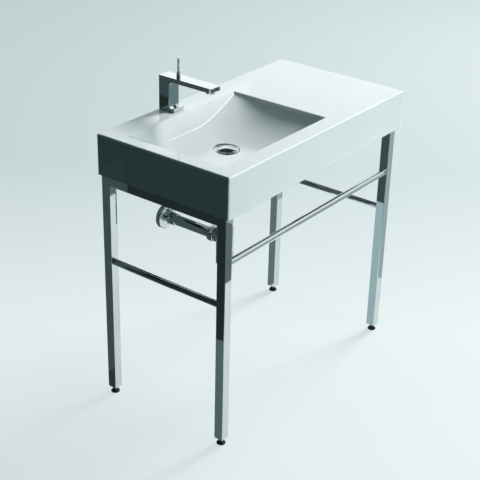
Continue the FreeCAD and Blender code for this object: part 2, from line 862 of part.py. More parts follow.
def make_tailpiece():
    gap = size.pipe_clearance
    passage = size.pipe_diameter + gap * 2
    collar_top = waste_end - size.tail_seal_thickness
    nut_bottom = collar_top - size.tail_collar_thickness - size.nut_lip
    thread = size.waste_tube_diameter + gap * 2
    nut_start = (axis_x, drain_y, nut_bottom)
    union_nut("tail_nut", size.tail_nut_diameter, thread, passage, size.tail_nut_height, nut_start, "z")
    seal_start = (axis_x, drain_y, collar_top)
    thickness = size.tail_seal_thickness
    seal = ring("tail_seal", size.tail_collar_diameter, size.pipe_diameter, thickness, seal_start)
    named(seal, "tail_seal")
    pipe = size.pipe_diameter / 2
    bore = pipe - size.pipe_wall
    collar = size.tail_collar_diameter / 2
    tail_end = outlet_height - size.tailpiece_dip - collar_top
    tail = [
        (bore, tail_end),
        (pipe, tail_end),
        (pipe, -size.tail_collar_thickness),
        (collar, -size.tail_collar_thickness),
        (collar, 0),
        (bore, 0),
    ]
    named(turned("tailpiece", tail, (axis_x, drain_y, collar_top)), "tailpiece")


trap_top = outlet_height + size.trap_rise
trap_bottom = outlet_height - size.trap_fall
neck_top = trap_top + size.trap_neck_height
socket_end = drain_y + size.trap_socket_reach


def make_trap():
    gap = size.pipe_clearance
    outside = size.trap_diameter / 2
    inside = outside - size.trap_wall
    neck = size.trap_neck_diameter / 2
    passage = size.pipe_diameter + gap * 2
    height = trap_top - trap_bottom
    housing = [
        (passage / 2, height - size.trap_wall),
        (inside, height - size.trap_wall),
        (inside, 0),
        (outside, 0),
        (outside, height - size.trap_shoulder),
        (neck, height),
        (neck, height + size.trap_neck_height),
        (passage / 2, height + size.trap_neck_height),
    ]
    bottle = turned("trap_housing", housing, (axis_x, drain_y, trap_bottom))
    socket_start = (axis_x, drain_y, outlet_height)
    socket = cylinder("trap_socket", size.trap_socket_diameter, size.trap_socket_reach, socket_start, "y")
    inner_start = (axis_x, drain_y, trap_bottom)
    inner = cylinder("trap_inner", inside * 2, height - size.trap_wall, inner_start)
    spigot = cut("trap_spigot", socket, [inner])
    outlet = cylinder("trap_outlet", passage, size.trap_socket_reach, socket_start, "y")
    named(cut("trap_body", fuse("trap_joined", [bottle, spigot]), [outlet]), "trap_body")

    seal_start = (axis_x, drain_y, neck_top)
    seal = ring("trap_inlet_seal", size.trap_neck_diameter, passage, size.trap_seal_thickness, seal_start)
    named(seal, "trap_inlet_seal")
    thread = size.trap_neck_diameter + gap * 2
    start = (axis_x, drain_y, neck_top + size.trap_seal_thickness + size.nut_lip)
    flip = Rotation(Vector(1, 0, 0), 180)
    height = size.trap_nut_height
    nut = union_nut("trap_inlet_nut", size.trap_nut_diameter, thread, passage, height, start, "z")
    nut.Placement.Rotation = flip

    shoulder_height = size.cup_height - size.cup_seal_thickness
    wall_inside = inside - gap - size.trap_wall
    cup = [
        (0, 0),
        (outside - size.cup_edge, 0),
        (outside - size.cup_edge * (1 - arc_middle_share), size.cup_edge * (1 - arc_middle_share), "arc"),
        (outside, size.cup_edge),
        (outside, shoulder_height),
        (inside - gap, shoulder_height),
        (inside - gap, size.cup_height + size.cup_neck_height),
        (wall_inside, size.cup_height + size.cup_neck_height),
        (wall_inside, size.cup_floor),
        (0, size.cup_floor),
    ]
    cup_bottom = trap_bottom - size.cup_height
    named(turned("trap_cup", cup, (axis_x, drain_y, cup_bottom)), "trap_cup")
    cup_seal_start = (axis_x, drain_y, trap_bottom - size.cup_seal_thickness)
    cup_seal = ring("trap_cup_seal", size.trap_diameter, inside * 2, size.cup_seal_thickness, cup_seal_start)
    named(cup_seal, "trap_cup_seal")


def make_outlet():
    gap = size.pipe_clearance
    passage = size.pipe_diameter + gap * 2
    seal_start = (axis_x, socket_end, outlet_height)
    thickness = size.trap_seal_thickness
    seal = ring("trap_outlet_seal", size.trap_socket_diameter, passage, thickness, seal_start, "y")
    named(seal, "trap_outlet_seal")
    thread = size.trap_socket_diameter + gap * 2
    nut_end = socket_end + size.trap_seal_thickness + size.nut_lip
    back_turn = Rotation(Vector(1, 0, 0), 90)
    start = (axis_x, nut_end, outlet_height)
    height = size.trap_nut_height
    nut = union_nut("trap_outlet_nut", size.outlet_nut_diameter, thread, passage, height, start, "y")
    nut.Placement.Rotation = back_turn

    pipe_y = socket_end - size.pipe_insertion
    bore = size.pipe_diameter - size.pipe_wall * 2
    pipe_start = (axis_x, pipe_y, outlet_height)
    pipe = ring("waste_pipe", size.pipe_diameter, bore, wall - pipe_y, pipe_start, "y")
    named(pipe, "waste_pipe")

    disc = size.wall_flange_diameter / 2
    neck = size.wall_neck_diameter / 2
    thickness = size.wall_flange_thickness
    length = thickness + size.wall_neck_length
    flange = [
        (passage / 2, 0),
        (neck - size.collar_edge, 0),
        (neck, size.collar_edge),
        (neck, size.wall_neck_length),
        (disc - size.wall_flange_bevel, size.wall_neck_length),
        (disc, size.wall_neck_length + size.wall_flange_bevel),
        (disc, length),
        (passage / 2, length),
    ]
    neck_start = wall - length
    rosette = turned("flange_rosette", flange, (axis_x, neck_start, outlet_height), "y")
    screw_turn = Rotation(Vector(0, 1, 0), -size.flange_screw_angle.value)
    outward = screw_turn.multVec(Vector(0, 0, 1))
    screw_y = neck_start + size.flange_screw_from_end
    inner = passage / 2
    start = (axis_x + inner * outward.x, screw_y, outlet_height + inner * outward.z)
    hole_diameter = size.flange_screw_diameter + size.pipe_clearance * 2
    screw_hole = cylinder("screw_hole", hole_diameter, size.wall_neck_diameter, start)
    screw_hole.Placement.Rotation = screw_turn
    named(cut("wall_flange", rosette, [screw_hole]), "wall_flange")
    screw = cylinder("flange_screw", size.flange_screw_diameter, size.flange_screw_length, start)
    screw.Placement.Rotation = screw_turn
    named(screw, "flange_screw")


# Frame

leg_top = apron_bottom - size.basin_pad_thickness
leg_length = leg_top - size.foot_height
bar_span = size.basin_width - (size.leg_side_inset + size.leg_side) * 2
side_centre = size.basin_width / 2 - size.leg_side_inset - size.leg_side / 2
front_centre = front + size.leg_front_inset + size.leg_side / 2
back_centre = wall - size.leg_back_inset - size.leg_side / 2
rail_start = front_centre + size.leg_side / 2
rail_span = back_centre - front_centre - size.leg_side
side_rail_height = apron_bottom - size.side_rail_drop
towel_bar_height = apron_bottom - size.towel_bar_drop
sides = (("left", -1), ("right", 1))
ends = (("front", front_centre), ("back", back_centre))


def make_leg(name, x, y):
    half = size.leg_side / 2
    leg = square_tube("leg_" + name, "z", leg_length, (x - half, y - half, size.foot_height))
    named(leg, "leg_" + name)

    inside = size.leg_side - size.leg_wall * 2
    low = (x - inside / 2, y - inside / 2, size.foot_height)
    insert_block = box("insert_block_" + name, low, (inside, inside, size.leg_insert_height))
    thread = size.foot_stud_diameter + size.running_clearance * 2
    thread_hole = cylinder("insert_thread_" + name, thread, size.leg_insert_height, (x, y, size.foot_height))
    named(cut("leg_insert_" + name, insert_block, [thread_hole]), "leg_insert_" + name)

    disc = size.foot_diameter / 2
    waist = size.foot_waist_diameter / 2
    seat = size.foot_stud_diameter / 2 + size.thread_clearance
    top = size.foot_height - size.running_clearance
    stud_floor = top - size.foot_stud_seat
    pad = [
        (0, 0),
        (disc - size.foot_disc_edge, 0),
        (disc, size.foot_disc_edge),
        (disc, size.foot_disc_height),
        (waist, size.foot_waist_height),
        (waist, top),
        (seat, top),
        (seat, stud_floor),
        (0, stud_floor),
    ]
    named(turned("foot_pad_" + name, pad, (x, y, zero)), "foot_pad_" + name)
    stud_length = size.foot_stud_length + size.foot_stud_seat
    stud = cylinder("foot_stud_" + name, size.foot_stud_diameter, stud_length, (x, y, stud_floor))
    named(stud, "foot_stud_" + name)
    pad_span = (size.leg_side, size.leg_side, size.basin_pad_thickness)
    return box("basin_pad_" + name, (x - half, y - half, leg_top), pad_span)


def make_frame():
    pads = []
    for side_name, side in sides:
        x = side_centre * side
        for end_name, y in ends:
            pads.append(make_leg("%s_%s" % (end_name, side_name), x, y))
        low = (x - size.leg_side / 2, rail_start, leg_top - size.leg_side)
        named(square_tube("top_rail_" + side_name, "y", rail_span, low), "top_rail_" + side_name)
        bore = size.side_rail_diameter - size.bar_wall * 2
        start = (x, rail_start, side_rail_height)
        rail = ring("side_rail_" + side_name, size.side_rail_diameter, bore, rail_span, start, "y")
        named(rail, "side_rail_" + side_name)
    named(fuse("basin_pads", pads), "basin_pads")

    bore = size.towel_bar_diameter - size.bar_wall * 2
    start = (-bar_span / 2, front_centre, towel_bar_height)
    named(ring("towel_bar", size.towel_bar_diameter, bore, bar_span, start, "x"), "towel_bar")
    plug_diameter = bore - size.pipe_clearance
    plugs = []
    for side_name, plug_x in (("left", -bar_span / 2), ("right", bar_span / 2 - size.bar_plug_length)):
        plug_start = (plug_x, front_centre, towel_bar_height)
        plugs.append(cylinder("bar_plug_" + side_name, plug_diameter, size.bar_plug_length, plug_start, "x"))
    named(fuse("towel_bar_plugs", plugs), "towel_bar_plugs")


make_washbasin()
make_tap_body()
make_tap_fixing()
make_lever()
make_aerator()
make_waste()
make_plug()
make_tailpiece()
make_trap()
make_outlet()
make_frame()
doc.recompute()

faults = [item.Name for item in doc.Objects if "Invalid" in item.State or "Error" in item.State]
faults += [item.Label for item in nodes if item.Shape.isNull() or not item.Shape.isValid()]
if faults:
    raise RuntimeError("These pieces did not build: " + ", ".join(faults))

os.makedirs("parts", exist_ok=True)
for item in nodes:
    item.Shape.exportStep("parts/%s.step" % item.Label)
    print("%s: %d solids, %.0f mm3" % (item.Label, len(item.Shape.Solids), item.Shape.Volume))
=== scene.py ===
import bpy
import json
import math
from mathutils import Matrix, Vector


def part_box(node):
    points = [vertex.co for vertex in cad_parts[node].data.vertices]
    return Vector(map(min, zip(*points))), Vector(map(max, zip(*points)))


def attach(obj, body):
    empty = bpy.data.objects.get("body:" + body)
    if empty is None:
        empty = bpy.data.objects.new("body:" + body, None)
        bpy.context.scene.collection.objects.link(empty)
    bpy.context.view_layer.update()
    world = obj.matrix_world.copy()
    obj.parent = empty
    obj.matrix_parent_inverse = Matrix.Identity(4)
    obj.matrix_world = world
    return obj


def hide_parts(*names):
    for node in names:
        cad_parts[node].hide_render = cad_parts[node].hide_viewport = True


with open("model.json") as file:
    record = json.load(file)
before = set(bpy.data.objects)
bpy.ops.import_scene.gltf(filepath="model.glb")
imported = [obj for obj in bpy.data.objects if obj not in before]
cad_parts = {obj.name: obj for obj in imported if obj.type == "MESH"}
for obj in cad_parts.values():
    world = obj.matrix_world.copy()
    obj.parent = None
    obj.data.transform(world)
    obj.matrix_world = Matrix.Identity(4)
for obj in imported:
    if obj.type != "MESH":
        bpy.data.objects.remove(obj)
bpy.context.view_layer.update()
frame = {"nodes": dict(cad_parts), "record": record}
nodes = frame["nodes"]
bodies = frame["record"]["behaviour"]["bodies"]
bodyOfNode = {member: bodyName for bodyName, members in bodies.items() for member in members}
slotOfNode = {part["node"]: part["material_slot"] for part in frame["record"]["subparts"]}
print("frame: loaded", len(nodes), "nodes")


# Small helpers; lengths are in metres, as in the frame

def clearSelection():
    if bpy.context.mode != "OBJECT":
        bpy.ops.object.mode_set(mode="OBJECT")
    bpy.ops.object.select_all(action="DESELECT")


def pick(item):
    clearSelection()
    item.select_set(True)
    bpy.context.view_layer.objects.active = item


def editAll(item):
    pick(item)
    bpy.ops.object.mode_set(mode="EDIT")
    bpy.ops.mesh.select_all(action="SELECT")


def editChosen(item, kind, isChosen):
    # Edit mode, with only the edges or faces that pass the test selected
    pick(item)
    bpy.ops.object.mode_set(mode="EDIT")
    bpy.ops.mesh.select_mode(type=kind)
    bpy.ops.mesh.select_all(action="DESELECT")
    bpy.ops.object.mode_set(mode="OBJECT")
    parts = item.data.edges if kind == "EDGE" else item.data.polygons
    for part in parts:
        part.select = isChosen(part)
    bpy.ops.object.mode_set(mode="EDIT")


def turnOutwards():
    bpy.ops.mesh.select_all(action="SELECT")
    bpy.ops.mesh.normals_make_consistent(inside=False)
    clearSelection()


def applyModifier(item, kind, **settings):
    pick(item)
    modifier = item.modifiers.new(kind.lower(), kind)
    for name, value in settings.items():
        setattr(modifier, name, value)
    bpy.ops.object.modifier_apply(modifier=modifier.name)


def cutWith(item, tool):
    applyModifier(item, "BOOLEAN", operation="DIFFERENCE", object=tool, solver="EXACT")
    bpy.data.objects.remove(tool)


def applyPlace(item):
    pick(item)
    bpy.ops.object.transform_apply(location=True, rotation=True, scale=True)


def smoothFaces(item, angle):
    pick(item)
    bpy.ops.object.shade_smooth_by_angle(angle=math.radians(angle))


def smoothAndWeigh(item, angle, weight):
    # Smooth shading in which the large flat faces stay flat
    smoothFaces(item, angle)
    applyModifier(item, "WEIGHTED_NORMAL", weight=weight, keep_sharp=True)


def addBlock(name, low, high):
    clearSelection()
    centre = (Vector(low) + Vector(high)) / 2
    bpy.ops.mesh.primitive_cube_add(size=1, location=centre)
    item = bpy.context.object
    item.name = name
    item.scale = Vector(high) - Vector(low)
    applyPlace(item)
    return item


def addRod(name, radius, low, high, sides):
    clearSelection()
    axis = Vector(high) - Vector(low)
    bpy.ops.mesh.primitive_cylinder_add(
        vertices=sides, radius=radius, depth=axis.length, location=(Vector(low) + Vector(high)) / 2
    )
    item = bpy.context.object
    item.name = name
    item.rotation_mode = "QUATERNION"
    item.rotation_quaternion = axis.to_track_quat("Z", "Y")
    applyPlace(item)
    return item


def finishPiece(item, name, replacedNode, material):
    item.name = name
    item.data.name = name
    item.data.materials.clear()
    item.data.materials.append(material)
    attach(item, bodyOfNode[replacedNode])
    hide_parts(replacedNode)


# Material helpers

def newMaterial(name):
    material = bpy.data.materials.new(name)
    material.use_nodes = True
    tree = material.node_tree
    return material, tree, tree.nodes["Principled BSDF"]


def objectPoint(tree):
    return tree.nodes.new("ShaderNodeTexCoord").outputs["Object"]


noiseReach = (0.3, 0.7)  # where most of a noise field's values lie
noiseDetail = 3.0
rippleDetail = 1.0
wipeDetail = 4.0


def noiseField(tree, scale, detail=noiseDetail, stretch=None):
    source = objectPoint(tree)
    if stretch:
        mapping = tree.nodes.new("ShaderNodeMapping")
        mapping.inputs["Scale"].default_value = stretch
        tree.links.new(source, mapping.inputs["Vector"])
        source = mapping.outputs["Vector"]
    noise = tree.nodes.new("ShaderNodeTexNoise")
    noise.inputs["Scale"].default_value = scale
    noise.inputs["Detail"].default_value = detail
    tree.links.new(source, noise.inputs["Vector"])
    return noise.outputs["Fac"]


def blendColours(tree, factor, first, second):
    ramp = tree.nodes.new("ShaderNodeValToRGB")
    for stop, place, colour in zip(ramp.color_ramp.elements, noiseReach, (first, second)):
        stop.position = place
        stop.color = (*colour, 1)
    tree.links.new(factor, ramp.inputs["Fac"])
    return ramp.outputs["Color"]


def spread(tree, factor, low, high):
    reach = tree.nodes.new("ShaderNodeMapRange")
    reach.inputs["From Min"].default_value = noiseReach[0]
    reach.inputs["From Max"].default_value = noiseReach[1]
    reach.inputs["To Min"].default_value = low
    reach.inputs["To Max"].default_value = high
    tree.links.new(factor, reach.inputs["Value"])
    return reach.outputs["Result"]


def addBump(tree, shader, height, strength, distance):
    bump = tree.nodes.new("ShaderNodeBump")
    bump.inputs["Strength"].default_value = strength
    bump.inputs["Distance"].default_value = distance
    tree.links.new(height, bump.inputs["Height"])
    tree.links.new(bump.outputs["Normal"], shader.inputs["Normal"])


# Finishes

glazeLook = {
    "white": (0.83, 0.87, 0.87),
    "milky": (0.87, 0.9, 0.9),
    "biscuit": (0.74, 0.72, 0.67),
    "rough": (0.05, 0.1),
    "biscuitTop": 0.7592,  # the unglazed foot of the walls ends at this height
    "cloudScale": 9.0,
    "glossScale": 40.0,
    "rippleScale": 22.0,
    "ripple": (0.05, 0.002),  # strength and distance
    "ior": 1.52,
    "coat": 0.4,
    "coatRough": 0.03,
}


def makeGlaze():
    material, tree, shader = newMaterial("whiteGlaze")
    cloud = noiseField(tree, glazeLook["cloudScale"])
    glaze = blendColours(tree, cloud, glazeLook["white"], glazeLook["milky"])
    split = tree.nodes.new("ShaderNodeSeparateXYZ")
    tree.links.new(objectPoint(tree), split.inputs["Vector"])
    foot = tree.nodes.new("ShaderNodeMath")
    foot.operation = "LESS_THAN"
    foot.inputs[1].default_value = glazeLook["biscuitTop"]
    tree.links.new(split.outputs["Z"], foot.inputs[0])
    colour = tree.nodes.new("ShaderNodeMix")
    colour.data_type = "RGBA"
    colour.inputs["B"].default_value = (*glazeLook["biscuit"], 1)
    tree.links.new(foot.outputs["Value"], colour.inputs["Factor"])
    tree.links.new(glaze, colour.inputs["A"])
    tree.links.new(colour.outputs["Result"], shader.inputs["Base Color"])
    gloss = spread(tree, noiseField(tree, glazeLook["glossScale"]), *glazeLook["rough"])
    matt = tree.nodes.new("ShaderNodeMath")
    matt.operation = "MAXIMUM"
    tree.links.new(gloss, matt.inputs[0])
    tree.links.new(foot.outputs["Value"], matt.inputs[1])
    tree.links.new(matt.outputs["Value"], shader.inputs["Roughness"])
    shader.inputs["IOR"].default_value = glazeLook["ior"]
    shader.inputs["Coat Weight"].default_value = glazeLook["coat"]
    shader.inputs["Coat Roughness"].default_value = glazeLook["coatRough"]
    addBump(tree, shader, noiseField(tree, glazeLook["rippleScale"], rippleDetail), *glazeLook["ripple"])
    return material


chromeLook = {
    "toneScale": 14.0,
    "toneShare": 0.94,  # of the tint, in the darker clouds
    "rippleScale": 30.0,
    "ripple": (0.03, 0.001),
    # Tint, roughness, scale and stretch of the wipe marks
    "castChrome": ((0.72, 0.76, 0.77), (0.02, 0.05), 60.0, (1, 1, 1)),
    "tubeChrome": ((0.7, 0.74, 0.75), (0.02, 0.04), 90.0, (1, 1, 0.08)),
}


def makeChrome(name):
    tint, rough, streak, stretch = chromeLook[name]
    material, tree, shader = newMaterial(name)
    shader.inputs["Metallic"].default_value = 1.0
    shade = tuple(part * chromeLook["toneShare"] for part in tint)
    tone = blendColours(tree, noiseField(tree, chromeLook["toneScale"]), tint, shade)
    tree.links.new(tone, shader.inputs["Base Color"])
    wipe = noiseField(tree, streak, wipeDetail, stretch)
    tree.links.new(spread(tree, wipe, *rough), shader.inputs["Roughness"])
    addBump(tree, shader, noiseField(tree, chromeLook["rippleScale"], rippleDetail), *chromeLook["ripple"])
    return material


plainLook = {
    "grainBump": 4,  # times finer than the colour's grain
    "bumpDistance": 0.0005,
    # Two tones, roughness, grain, bump and metal share
    "blackRubber": ((0.02, 0.02, 0.02), (0.035, 0.035, 0.035), (0.6, 0.8), 300.0, 0.25, 0.0),
    "greyPlastic": ((0.1, 0.105, 0.11), (0.14, 0.145, 0.15), (0.4, 0.55), 400.0, 0.15, 0.0),
    "zincSteel": ((0.5, 0.52, 0.53), (0.6, 0.62, 0.63), (0.25, 0.4), 250.0, 0.1, 1.0),
    "turnedBrass": ((0.62, 0.46, 0.2), (0.7, 0.55, 0.27), (0.2, 0.35), 200.0, 0.1, 1.0),
    "footPlastic": ((0.012, 0.014, 0.015), (0.022, 0.024, 0.026), (0.1, 0.22), 500.0, 0.08, 0.0),
}


def makePlain(name):
    first, second, rough, grain, bump, metal = plainLook[name]
    material, tree, shader = newMaterial(name)
    field = noiseField(tree, grain)
    tree.links.new(blendColours(tree, field, first, second), shader.inputs["Base Color"])
    tree.links.new(spread(tree, field, *rough), shader.inputs["Roughness"])
    shader.inputs["Metallic"].default_value = metal
    fine = noiseField(tree, grain * plainLook["grainBump"])
    addBump(tree, shader, fine, bump, plainLook["bumpDistance"])
    return material


finishes = {
    "ceramic": makeGlaze(),
    "fitting_chrome": makeChrome("castChrome"),
    "frame_chrome": makeChrome("tubeChrome"),
    "rubber": makePlain("blackRubber"),
    "plastic": makePlain("greyPlastic"),
    "steel": makePlain("zincSteel"),
    "brass": makePlain("turnedBrass"),
    "foot": makePlain("footPlastic"),
}
print("finishes:", len(finishes))


# Ceramic basin

basin = {
    "edgeRadius": 0.005,
    "edgeSteps": 8,
    "edgeBand": 0.001,  # edges this close to the top are rounded
    "leftRim": 0.046,
    "frontRim": 0.056,
    "backRim": 0.08,
    "bowlWidth": 0.489,
    "bowlDepth": 0.076,
    "scoopReach": 0.236,
    "scoopFullness": 0.4,
    "leftCurve": 0.052,
    "lip": 0.0025,
    "facetDropShare": 0.94,
    "frontTurn": 0.06,
    "wallSlant": 0.00005,
    "creaseRadius": 0.012,
    # Guide points of the depth along the bowl, from the back to the front
    "wayShares": (-0.03, 0.1, 0.28, 0.46, 0.66, 0.84, 0.95, 1, 1.03),
    "depthShares": (0.22, 0.5, 0.86, 1, 1, 1, 0.92, 0.5, 0.2),
    "wall": 0.012,
    "sideWall": 0.036,
    "frontWall": 0.016,
    "backWall": 0.014,
    "deck": 0.016,
    "drainFromBack": 0.165,
    "seatDepth": 0.082,
    "recessRadius": 0.039,
    "drainRadius": 0.023,
    "bossRadius": 0.034,
    "bossDepth": 0.096,
    "tapHoleRadius": 0.0175,
    "tapHoleFromBack": 0.037,
    "fixingRadius": 0.006,
    "fixingSpacing": 0.28,
    "fixingRise": 0.042,
    "holeSides": 96,
    "fixingSides": 48,
    "overrun": 0.01,
    # Points of the bowl's surface
    "depthSteps": 400,
    "lipTurn": 81,  # degrees of the rounded rim
    "lipSteps": 5,
    "lipEnd": 0.97,
    "heelColumns": 16,
    "floorColumns": 20,
    "scoopColumns": 44,
    "turnRows": 20,
    "floorRows": 44,
    "facetRows": 20,
    "creaseShares": (-0.67, -0.33, 0, 0.33, 0.67, 1),
    "creaseReach": 0.9,
    "creaseSearch": 40,
    "slopeStep": 0.0005,  # either side of the crease, to measure the slopes there
    "shellFineness": 1,
    "bowlFineness": 2,
    "smoothAngle": 28,
    "flatWeight": 80,
}
basinLow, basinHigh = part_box("washbasin")
rim = basinHigh.z
bowlLeft = basinLow.x + basin["leftRim"]
bowlRight = bowlLeft + basin["bowlWidth"]
bowlFront = basinLow.y + basin["frontRim"]
bowlBack = basinHigh.y - basin["backRim"]
drainX = (bowlLeft + bowlRight) / 2
drainY = bowlBack - basin["drainFromBack"]


def splineWeights(t, count):
    # Cubic weights of the guide points at t, from 0 at the first to 1 at the last
    spans = count - 3
    knots = [0] * 4 + list(range(1, spans)) + [spans] * 4
    t = min(t * spans, spans - 1e-9)
    weights = [1.0 if knots[i] <= t < knots[i + 1] else 0.0 for i in range(count + 3)]
    for degree in (1, 2, 3):
        for i in range(count + 3 - degree):
            left = knots[i + degree] - knots[i]
            right = knots[i + degree + 1] - knots[i + 1]
            before = (t - knots[i]) / left * weights[i] if left else 0.0
            after = (knots[i + degree + 1] - t) / right * weights[i + 1] if right else 0.0
            weights[i] = before + after
    return weights[:count]


def depthLine(grow):
    # The scoop's depth against Y, from the back to the front
    line = []
    length = bowlBack - bowlFront + grow * 2
    for step in range(basin["depthSteps"] + 1):
        weights = splineWeights(step / basin["depthSteps"], len(basin["wayShares"]))
        way = sum(w * share for w, share in zip(weights, basin["wayShares"]))
        depth = sum(w * share for w, share in zip(weights, basin["depthShares"]))
        line.append((bowlBack + grow - way * length, basin["bowlDepth"] * depth + grow))
    return line


def depthAt(line, y):
    for (backY, backDepth), (frontY, frontDepth) in zip(line, line[1:]):
        if backY >= y >= frontY:
            return backDepth + (frontDepth - backDepth) * (backY - y) / (backY - frontY)
    return line[-1][1]


def lipSteps(count, lip):
    # Outward steps of the rounded rim, from just under the deck down into the bowl
    turn = math.radians(basin["lipTurn"])
    return [lip * (1 - math.cos(turn * (1 - step / count))) for step in range(count + 1)]


def evenly(start, end, count):
    return [start + (end - start) * (step + 1) / count for step in range(count)]


def softMax(first, second, softness):
    # The higher of two heights, with the valley between them rounded
    gap = max(softness - abs(first - second), 0.0)
    return max(first, second) + gap * gap / (4 * softness)


def riseShare(way):
    # The scoop's share of its depth, on a flat curve from the level floor, at 0, to the right rim, at 1
    full = basin["scoopFullness"]
    left = max(1 - way, 0.0)
    turn = (full * left + math.sqrt((full * left) ** 2 + way * left)) / way
    fall = 2 * full * turn + turn * turn
    return fall / (1 + fall)


class BowlForm:
    # The bowl's height above any spot: a scoop along X, cut off by a slope at the back and a wall in front

    def __init__(self, grow):
        self.lip = basin["lip"]
        self.near = bowlLeft - grow
        self.far = bowlRight + grow
        self.frontEdge = bowlFront - grow
        self.slope = basin["facetDropShare"]
        tilt = math.atan(self.slope)
        self.backEdge = bowlBack + grow / math.sin(tilt)
        self.heel = self.near + basin["leftCurve"]
        self.reach = self.far - basin["scoopReach"]
        self.tangent = self.lip * math.tan(tilt / 2)
        self.facetStart = self.backEdge - self.tangent * math.cos(tilt)
        self.line = depthLine(grow)

    def lipHeight(self, out):
        return rim - self.lip + math.sqrt(max(self.lip ** 2 - (self.lip - out) ** 2, 0))

    def scoop(self, x, y):
        if x <= self.near:
            return self.lipHeight(self.near - x)
        if x >= self.far:
            return self.lipHeight(x - self.far)
        share = 1.0
        if x < self.heel:
            share = math.sqrt(max(1 - ((self.heel - x) / basin["leftCurve"]) ** 2, 0))
        elif x > self.reach:
            share = riseShare((x - self.reach) / basin["scoopReach"])
        return rim - self.lip - (depthAt(self.line, y) - self.lip) * share

    def ends(self, y):
        if y <= self.frontEdge:
            return self.lipHeight(self.frontEdge - y)
        if y >= self.facetStart:
            return self.lipHeight(self.lip - (self.backEdge + self.tangent - y))
        return rim - self.slope * (self.backEdge - y)

    def crease(self, x):
        # Where the slope meets the scoop on this line, how far the rounding goes and how high
        if x <= self.near or x >= self.far:
            return self.facetStart, 0.0, 0.0
        low, high = self.frontEdge + basin["frontTurn"], self.facetStart
        for _ in range(basin["creaseSearch"]):
            middle = (low + high) / 2
            if self.ends(middle) > self.scoop(x, middle):
                high = middle
            else:
                low = middle
        step = basin["slopeStep"]
        alongY = self.slope - (self.scoop(x, low + step) - self.scoop(x, low - step)) / (2 * step)
        alongX = (self.scoop(x + step, low) - self.scoop(x - step, low)) / (2 * step)
        soft = basin["creaseRadius"] * (alongX ** 2 + alongY ** 2) / 2
        width = min(soft / alongY, (self.facetStart - low) * basin["creaseReach"])
        return low, width, soft

    def height(self, x, y, soft):
        if soft and self.frontEdge < y < self.facetStart:
            return softMax(self.scoop(x, y), self.ends(y), soft)
        return max(self.scoop(x, y), self.ends(y))


def makeBowlTool(name, grow, fine):
    form = BowlForm(grow)
    lips = lipSteps(basin["lipSteps"], form.lip)
    quarter = math.pi / 2
    heelTurns = evenly(0, quarter, basin["heelColumns"] * fine)
    scoopTurns = evenly(0, quarter, basin["scoopColumns"] * fine)
    columns = [form.near - out for out in lips]
    columns += [form.heel - basin["leftCurve"] * math.cos(turn) for turn in heelTurns]
    columns += evenly(form.heel, form.reach, basin["floorColumns"] * fine)
    columns += [form.reach + basin["scoopReach"] * math.sin(turn) for turn in scoopTurns]
    columns += [form.far + out for out in reversed(lips)][1:]

    def rowsAt(x):
        # Rows of points along this line of the bowl, gathered at the crease
        crease, width, soft = form.crease(x)
        foot = form.frontEdge + basin["wallSlant"]
        turn = form.frontEdge + basin["frontTurn"]
        rows = [form.frontEdge - out for out in lips] + [foot]
        rows += evenly(foot, turn, basin["turnRows"] * fine)
        rows += evenly(turn, crease - width, basin["floorRows"] * fine)
        rows += [crease + width * share for share in basin["creaseShares"]]
        rows += evenly(crease + width, form.facetStart, basin["facetRows"] * fine)
        rows += evenly(form.facetStart, form.backEdge + form.tangent * basin["lipEnd"], basin["lipSteps"])
        return [(x, y, form.height(x, y, soft)) for y in rows]

    points = [rowsAt(x) for x in columns]
    lastColumn, lastRow = len(columns) - 1, len(points[0]) - 1
    clearSelection()
    bpy.ops.mesh.primitive_grid_add(x_subdivisions=lastColumn, y_subdivisions=lastRow, size=2)
    tool = bpy.context.object
    tool.name = name
    for vertex in tool.data.vertices:
        column = round((vertex.co.x + 1) / 2 * lastColumn)
        row = round((vertex.co.y + 1) / 2 * lastRow)
        vertex.co = points[column][row]
    editAll(tool)
    rise = basin["bowlDepth"] + grow + basin["overrun"]
    bpy.ops.mesh.extrude_region_move(TRANSFORM_OT_translate={"value": (0, 0, rise)})
    turnOutwards()
    return tool


def roundBlankEdges(item):
    spots = item.data.vertices
    band = max(spot.co.z for spot in spots) - basin["edgeBand"]
    editChosen(item, "EDGE", lambda edge: any(spots[index].co.z > band for index in edge.vertices))
    bpy.ops.mesh.bevel(offset=basin["edgeRadius"], segments=basin["edgeSteps"], affect="EDGES")
    clearSelection()


def drainRod(name, radius, foot):
    return addRod(name, radius, (drainX, drainY, foot), (drainX, drainY, rim), basin["holeSides"])


